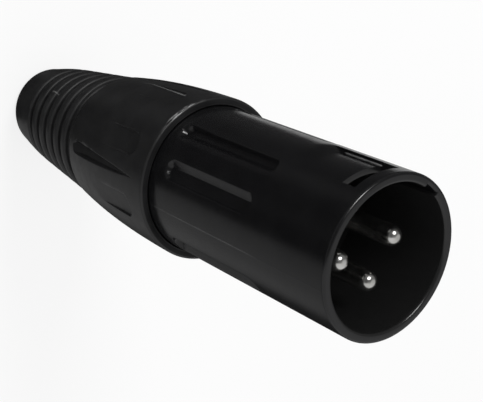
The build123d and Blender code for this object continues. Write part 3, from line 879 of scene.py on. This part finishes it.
def shell_finish():
    """Semi-gloss black coating, a little uneven, with painted highlights at the foot of the pocket's side and
    on the seams.
    """
    made, tree, shader = material("shell_coating", (0.005, 0.005, 0.0055), 0.2)
    vary_colour(tree, shader, noise(tree, 300, 3), (0.0045, 0.0045, 0.005), (0.006, 0.006, 0.0065))
    angle, radius, z = cylinder_place(tree)
    # Painted highlight: a pale line along the foot of the pocket's far wall
    foot_angle = TOP_ANGLE - degrees(asin(POCKET_HALF_WIDTH / POCKET_FLOOR_RADIUS))
    painted_foot_highlight = where_all(tree, near_value(tree, angle, foot_angle + 0.1, 0.3, 0.4),
                          near_value(tree, z, FOOT_HIGHLIGHT_Z, 2.6, 0.6),
                          near_value(tree, radius, POCKET_FLOOR_RADIUS, 0.1, 0.05),
                          spread(tree, noise(tree, 700, 2), 0.3, 1.0))
    lighten_base_colour(tree, shader, painted_foot_highlight, FOOT_HIGHLIGHT_TONE)
    # Painted highlight: a faint pale line along both mould seams, over their small ridge
    # This is 90 at both seams, which lie at 0 and 180 degrees
    from_sides = math_node(tree, "SUBTRACT", math_node(tree, "ABSOLUTE", angle), 90.0)
    off_middle = math_node(tree, "ABSOLUTE", from_sides)
    painted_seam_highlight = where_all(tree, near_value(tree, off_middle, 90.0, 0.3, 0.5),
                          near_value(tree, z, SEAM_HIGHLIGHT_Z, 7.0, 4.0),
                          near_value(tree, radius, BARREL_RADIUS, 0.1, 0.05),
                          spread(tree, noise(tree, 400, 2), 0.2, 1.0))
    lighten_base_colour(tree, shader, painted_seam_highlight, SEAM_HIGHLIGHT_TONE)
    inside = near_value(tree, radius, 0.0, MOUTH_RADIUS + 0.1, 0.3)
    lighten_base_colour(tree, shader, inside, MOUTH_TONE)
    vary_roughness(tree, shader, noise(tree, 900, 4), 0.17, 0.25)
    bump(tree, shader, noise(tree, 2600, 2), 0.004)
    return made


def plastic_finish(name, dark, light, roughness, grain, relief):
    """Moulded black plastic or rubber: two tones, uneven gloss and a fine grain."""
    made, tree, shader = material(name, dark, roughness[0])
    vary_colour(tree, shader, noise(tree, 350, 4), dark, light)
    vary_roughness(tree, shader, noise(tree, 700, 5), *roughness)
    bump(tree, shader, noise(tree, grain, 3), relief)
    return made


def grip_finish():
    """The sleeve's satin plastic, with scratch streaks and a painted highlight on its front edge, and a
    painted highlight along one side of a panel.
    """
    made = plastic_finish("sleeve_plastic_black", (0.010, 0.010, 0.0105), (0.014, 0.014, 0.0145),
                          roughness=(0.33, 0.43), grain=3200, relief=0.008)
    tree = made.node_tree
    shader = tree.nodes["Principled BSDF"]
    angle, radius, z = cylinder_place(tree)
    # Painted highlight with scratch streaks: the front edge is lightened where the key lamp's highlight falls
    streaks = spread(tree, ring_streaks(tree, angle, radius, z), -1.1, 1.5)
    scuffs_and_highlight = where_all(tree, near_value(tree, angle, SCUFF_AND_HIGHLIGHT_ANGLE, 3, 19),
                           near_value(tree, z, SLEEVE_FRONT_Z - 0.15, 0.15, 0.3),
                           near_value(tree, radius, SLEEVE_RADIUS, 0.12, 0.15), streaks)
    lighten_base_colour(tree, shader, scuffs_and_highlight, SCUFF_AND_HIGHLIGHT_TONE)
    # The flat front face mirrors less than its two edges
    face = where_all(tree, near_value(tree, z, SLEEVE_FRONT_Z, 0.02, 0.03),
                     near_value(tree, radius, FACE_MIDDLE_RADIUS, 0.2, 0.15))
    dull = spread(tree, face, 0.5, 0.15)
    tree.links.new(dull, shader.inputs["Specular IOR Level"])
    # Painted highlight: a pale line along one side of a panel
    panel_edge = PANEL_ANGLE - 360 / PANEL_COUNT - degrees(PANEL_HALF_WIDTH / SLEEVE_RADIUS)
    painted_panel_highlight = where_all(tree, near_value(tree, angle, panel_edge + 0.1, 0.1, 0.4),
                           near_value(tree, z, PANEL_HIGHLIGHT_PEAK_Z, 1.6, 8.0),
                           near_value(tree, z, PANEL_HIGHLIGHT_Z, 5.2, 0.6),
                           spread(tree, noise(tree, 500, 3), 0.4, 1.0))
    lighten_base_colour(tree, shader, painted_panel_highlight, PANEL_HIGHLIGHT_TONE)
    return made


def boot_finish():
    """The boot's soft black rubber, with one small scratch on a rib."""
    made = plastic_finish("boot_rubber_black", (0.012, 0.012, 0.0125), (0.017, 0.017, 0.0175),
                          roughness=(0.42, 0.54), grain=2400, relief=0.01)
    tree = made.node_tree
    angle, _, z = cylinder_place(tree)
    scratch = where_all(tree, near_value(tree, angle, SCRATCH_ANGLE, 0.1, 1.0),
                        near_value(tree, z, SCRATCH_Z, 0.6, 0.5))
    lighten_base_colour(tree, tree.nodes["Principled BSDF"], scratch, SCRATCH_TONE)
    return made


def metal_finish(name, dark, light, roughness, lines):
    """Plated metal with fine turning lines round it."""
    made, tree, shader = material(name, light, roughness[0], metallic=1.0)
    vary_colour(tree, shader, noise(tree, 900, 3), dark, light)
    vary_roughness(tree, shader, noise(tree, 1500, 3), *roughness)
    bump(tree, shader, noise(tree, lines, 2, (0.05, 0.05, 1.0)), 0.004)
    return made


def dress(piece, body, finish, slot, *replaced):
    """Gives a piece its material and its body, and hides the CAD nodes that it stands for. The slot is not
    used.
    """
    piece.data.materials.clear()
    piece.data.materials.append(finish)
    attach(piece, body)
    if replaced:
        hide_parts(*replaced)


def keep(node, finish):
    """Gives a CAD node that stays in view a new material."""
    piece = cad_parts[node]
    for place in piece.material_slots:
        place.material = finish


def make_camera():
    """The camera at the photograph's viewing angle."""
    camera = bpy.data.objects.new("camera", bpy.data.cameras.new("camera"))
    bpy.context.scene.collection.objects.link(camera)
    camera.data.sensor_width = SENSOR_WIDTH
    camera.data.lens = SENSOR_WIDTH * FOCAL_PIXELS / FRAME_WIDTH_PIXELS
    camera.data.clip_start = CLIP_START
    camera.data.clip_end = CLIP_END
    back = -CAMERA_FORWARD.normalized()
    right = CAMERA_UP.cross(back).normalized()
    up = back.cross(right)
    turned = Matrix((right, up, back)).transposed().to_4x4()
    camera.matrix_world = Matrix.Translation(CAMERA_PLACE * MM) @ turned
    bpy.context.scene.camera = camera


def flat_disc(name, radius, height, steps=96):
    """A flat disc, in millimetres."""
    turn = [2 * pi * step / steps for step in range(steps)]
    verts = [(radius * cos(t), radius * sin(t), height) for t in turn]
    return new_object(name, verts, [tuple(range(steps))])


def empty_material(piece, name):
    """Gives a piece a material without a shader, and returns its tree and its surface input."""
    finish = bpy.data.materials.new(name)
    finish.use_nodes = True
    piece.data.materials.append(finish)
    tree = finish.node_tree
    tree.nodes.clear()
    return tree, tree.nodes.new("ShaderNodeOutputMaterial").inputs["Surface"]


def make_floor():
    """A pale floor that is white to camera, glossy and transmission rays and keeps a soft shadow."""
    floor = flat_disc("floor", FLOOR_RADIUS, FLOOR_HEIGHT)
    tree, surface = empty_material(floor, "floor_white")
    diffuse = tree.nodes.new("ShaderNodeBsdfDiffuse")
    diffuse.inputs["Color"].default_value = (FLOOR_TONE, FLOOR_TONE, FLOOR_TONE, 1)
    glow = tree.nodes.new("ShaderNodeEmission")
    glow.inputs["Color"].default_value = (1, 1, 1, 1)
    path = tree.nodes.new("ShaderNodeLightPath")
    either = math_node(tree, "MAXIMUM", path.outputs["Is Camera Ray"], path.outputs["Is Glossy Ray"])
    any_ray = math_node(tree, "MAXIMUM", either, path.outputs["Is Transmission Ray"])
    mix = tree.nodes.new("ShaderNodeMixShader")
    tree.links.new(math_node(tree, "MULTIPLY", any_ray, FLOOR_WHITE_SHARE), mix.inputs["Fac"])
    tree.links.new(diffuse.outputs[0], mix.inputs[1])
    tree.links.new(glow.outputs[0], mix.inputs[2])
    tree.links.new(mix.outputs[0], surface)


def only_in_mirrors(card):
    """Leaves a card in the reflections alone."""
    for seen in ("visible_camera", "visible_diffuse", "visible_transmission", "visible_shadow",
                 "visible_volume_scatter"):
        setattr(card, seen, False)


def make_strip(steps=24):
    """The bright strip of card, a flat part of a ring."""
    low, high = (radians(azimuth) for azimuth in STRIP_AZIMUTHS)
    verts = []
    for step in range(steps + 1):
        turn = low + (high - low) * step / steps
        verts += [(radius * cos(turn), radius * sin(turn), STRIP_HEIGHT) for radius in STRIP_RADII]
    faces = [(2 * step, 2 * step + 1, 2 * step + 3, 2 * step + 2) for step in range(steps)]
    strip = new_object("studio_strip", verts, faces)
    tree, surface = empty_material(strip, "studio_strip_tone")
    glow = tree.nodes.new("ShaderNodeEmission")
    glow.inputs["Strength"].default_value = STRIP_TONE
    tree.links.new(glow.outputs[0], surface)
    only_in_mirrors(strip)


def make_card():
    """A card that only mirror rays see: its tone runs round the plug, as soft boxes and flags would give."""
    card = flat_disc("studio_card", CARD_RADIUS, CARD_HEIGHT)
    tree, surface = empty_material(card, "studio_card_tones")
    ramp = tree.nodes.new("ShaderNodeValToRGB")
    stops = ramp.color_ramp.elements
    while len(stops) < len(CARD_TONES):
        stops.new(0.5)
    for stop, (azimuth, tone) in zip(stops, CARD_TONES):
        stop.position = azimuth / 360
        stop.color = (tone, tone, tone, 1)
    angle, _, _ = cylinder_place(tree)
    turns = math_node(tree, "DIVIDE", angle, 360)
    tree.links.new(math_node(tree, "FRACT", turns), ramp.inputs["Fac"])
    glow = tree.nodes.new("ShaderNodeEmission")
    tree.links.new(ramp.outputs["Color"], glow.inputs["Color"])
    tree.links.new(glow.outputs[0], surface)
    only_in_mirrors(card)


def make_world():
    """White to the camera, a plain soft light on everything, and studio panels in the reflections."""
    world = bpy.data.worlds.new("studio")
    bpy.context.scene.world = world
    world.use_nodes = True
    tree = world.node_tree
    place = tree.nodes.new("ShaderNodeTexCoord")
    mirrored = CEILING_LEVEL
    for azimuth, elevation, half_width, level in SKY_PANELS:
        turn, lift = radians(azimuth), radians(elevation)
        toward = tree.nodes.new("ShaderNodeVectorMath")
        toward.operation = "DOT_PRODUCT"
        toward.inputs[1].default_value = (cos(turn) * cos(lift), sin(turn) * cos(lift), sin(lift))
        tree.links.new(place.outputs["Generated"], toward.inputs[0])
        outer, inner = cos(radians(half_width + SKY_SOFTNESS)), cos(radians(half_width - SKY_SOFTNESS))
        within = map_range(tree, toward.outputs["Value"], outer, inner, 0.0, 1.0, smooth=True)
        mirrored = mix_values(tree, within, mirrored, level)
    path = tree.nodes.new("ShaderNodeLightPath")
    cast = mix_values(tree, path.outputs["Is Glossy Ray"], SOFT_LIGHT_LEVEL, mirrored)
    seen = mix_values(tree, path.outputs["Is Camera Ray"], cast, 1.0)
    background = tree.nodes["Background"]
    background.inputs["Color"].default_value = (1, 1, 1, 1)
    tree.links.new(seen, background.inputs["Strength"])


def make_lamp():
    """A soft area lamp, the key light."""
    lamp = bpy.data.objects.new("key", bpy.data.lights.new("key", "AREA"))
    bpy.context.scene.collection.objects.link(lamp)
    lamp.data.size = LAMP_SIZE * MM
    lamp.data.energy = LAMP_WATTS
    lamp.location = LAMP_PLACE * MM
    aim = (LAMP_TARGET - LAMP_PLACE).normalized()
    lamp.rotation_euler = aim.to_track_quat("-Z", "Y").to_euler()


make_camera()
make_world()
make_floor()
make_card()
make_strip()
make_lamp()

coating = shell_finish()
grip_plastic = grip_finish()
rubber = boot_finish()
carrier = plastic_finish("insert_plastic_black", (0.01, 0.01, 0.01), (0.014, 0.014, 0.014),
                         roughness=(0.45, 0.6), grain=2800, relief=0.006)
nylon = plastic_finish("chuck_nylon_black", (0.012, 0.012, 0.012), (0.016, 0.016, 0.016),
                       roughness=(0.4, 0.55), grain=2800, relief=0.008)
silver = metal_finish("contact_silver_plate", (0.74, 0.73, 0.70), (0.86, 0.85, 0.83),
                      roughness=(0.16, 0.26), lines=9000)
tinned = metal_finish("spring_tinned", (0.62, 0.61, 0.58), (0.74, 0.73, 0.70),
                      roughness=(0.25, 0.38), lines=5000)

dress(make_shell(), "barrel", coating, "shell_metal", "shell")
dress(make_sleeve(), "holder", grip_plastic, "sleeve_plastic", "sleeve")
dress(make_boot(), "holder", rubber, "boot_rubber", "boot")
for pin_name in PIN_NAMES:
    dress(make_pin(pin_name), "barrel", silver, "contact_silver", pin_name)

# At rest the two ridges lie half a pitch apart, so each runs in the other's groove
shell_thread = thread_ridge("shell_thread", THREAD_CORE_RADIUS - THREAD_SINK, SHELL_THREAD_CREST_RADIUS,
                            SHELL_REAR_Z + THREAD_END_GAP, SHOULDER_Z - THREAD_SHOULDER_GAP, 0.0)
dress(shell_thread, "barrel", coating, "shell_metal")
sleeve_thread = thread_ridge("sleeve_thread", SLEEVE_BORE_RADIUS + THREAD_SINK, SLEEVE_THREAD_CREST_RADIUS,
                             SHELL_REAR_Z + THREAD_END_GAP, LIP_REAR_Z - THREAD_END_GAP, pi)
dress(sleeve_thread, "holder", grip_plastic, "sleeve_plastic")

keep("insert", carrier)
keep("chuck", nylon)
keep("earth_spring", tinned)

bpy.context.scene.view_settings.view_transform = "Standard"
